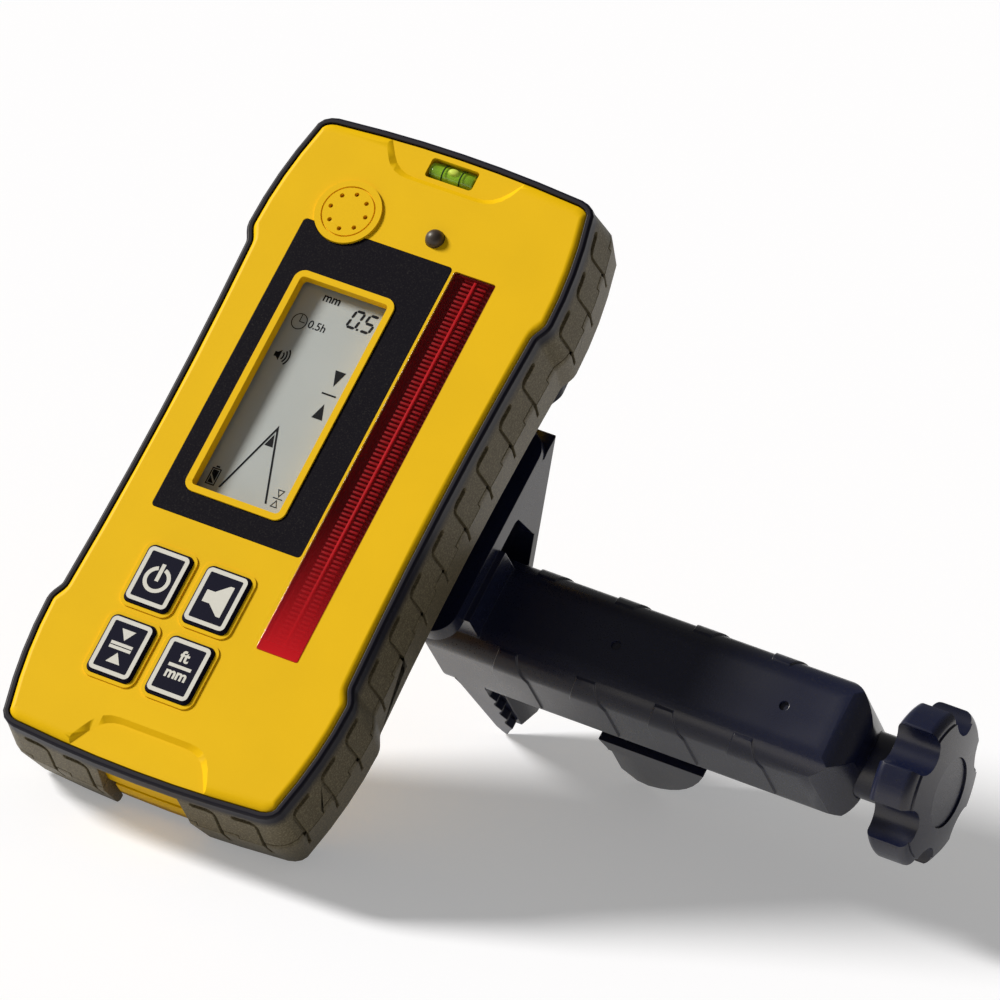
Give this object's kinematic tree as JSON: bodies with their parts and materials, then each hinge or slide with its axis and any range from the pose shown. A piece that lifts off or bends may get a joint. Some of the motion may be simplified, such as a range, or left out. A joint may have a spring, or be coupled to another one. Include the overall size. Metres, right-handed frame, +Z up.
{
  "type": "laser receiver",
  "caption": "Hand-held laser level receiver with a display, keys, a sensor window and rubber bumpers, on a screw clamp whose jaws grip a levelling staff.",
  "frame": {"origin": "centre of the footprint box on the table the part rests on", "axes": "+X along the clamp handle towards the knob, +Z up from the table; the receiver leans back from the table about X"},
  "size_m": [0.1914, 0.1361, 0.1348],
  "materials": {
    "yellow_shell": "fine moulded texture, satin",
    "rubber": "matt rubber",
    "panel_black": "grained black",
    "key_black": "satin rubber key",
    "clear_lens": "clear window",
    "lcd_grey": "display glass",
    "red_window": "tinted red window",
    "board_green": "circuit board",
    "diode": "sensor chip",
    "vial": "liquid level vial",
    "steel": "plain steel",
    "brass": "turned brass",
    "clamp_black": "glass-filled nylon, fine grain",
    "cell": "cell jacket",
    "dark_plastic": "dark moulded plastic"
  },
  "bodies": {
    "receiver": {"front_cover": "yellow_shell", "front_bumper": "rubber", "rear_housing": "yellow_shell", "rear_bumper": "rubber", "cover_gasket": "rubber", "display_panel": "panel_black", "display_lens": "clear_lens", "lcd_module": "lcd_grey", "sensor_window": "red_window", "sensor_board": "board_green", "photodiodes": "diode", "main_board": "board_green", "keypad_mat": "rubber", "buzzer": "dark_plastic", "light_sensor": "dark_plastic", "level_vial": "vial", "housing_screws": "steel", "rear_display_lens": "clear_lens", "rear_lcd_module": "lcd_grey", "battery_cells": "cell", "battery_contacts": "steel", "door_hinge_pin": "steel", "mount_insert": "brass", "clamp_body": "clamp_black", "grip_pad": "clamp_black", "screw_bushing": "clamp_black"},
    "clamp_screw": {"clamp_screw": "steel", "screw_clip": "steel", "thrust_washer": "steel", "star_knob": "clamp_black", "knob_cap": "clamp_black"},
    "moving_jaw": {"moving_jaw": "clamp_black", "jaw_nut": "brass"},
    "battery_door": {"battery_door": "yellow_shell", "door_seal": "rubber"},
    "mount_screw": {"mount_screw": "clamp_black"},
    "key_power": {"key_power": "key_black"},
    "key_sound": {"key_sound": "key_black"},
    "key_band": {"key_band": "key_black"},
    "key_units": {"key_units": "key_black"}
  },
  "joints": [
    {"name": "key_power_press", "type": "slide", "parent": "receiver", "child": "key_power", "axis": [0, 0.7118, -0.7024], "range_m": [0, 0.0008], "stiffness_N_per_m": 2500},
    {"name": "key_sound_press", "type": "slide", "parent": "receiver", "child": "key_sound", "axis": [0, 0.7118, -0.7024], "range_m": [0, 0.0008], "stiffness_N_per_m": 2500},
    {"name": "key_band_press", "type": "slide", "parent": "receiver", "child": "key_band", "axis": [0, 0.7118, -0.7024], "range_m": [0, 0.0008], "stiffness_N_per_m": 2500},
    {"name": "key_units_press", "type": "slide", "parent": "receiver", "child": "key_units", "axis": [0, 0.7118, -0.7024], "range_m": [0, 0.0008], "stiffness_N_per_m": 2500},
    {"name": "battery_door_open", "type": "hinge", "parent": "receiver", "child": "battery_door", "pos_m": [-0.05446, -0.01222, 0.02823], "axis": [1, 0, 0], "range_deg": [0, 80]},
    {"name": "mount_screw_turn", "type": "hinge", "parent": "receiver", "child": "mount_screw", "pos_m": [-0.05446, 0.02205, 0.05286], "axis": [0, 0.7118, -0.7024], "range_deg": [-720, 0]},
    {"name": "knob_turn", "type": "hinge", "parent": "receiver", "child": "clamp_screw", "pos_m": [0.04554, 0.03563, 0.03103], "axis": [1, 0, 0], "range_deg": [-1980, 1980]},
    {"name": "jaw_slide", "type": "slide", "parent": "receiver", "child": "moving_jaw", "axis": [1, 0, 0], "range_m": [-0.022, 0.022]}
  ],
  "couplings": [
    {"joint": "knob_turn", "follows": "jaw_slide", "rad_per_m": 1570.8}
  ]
}
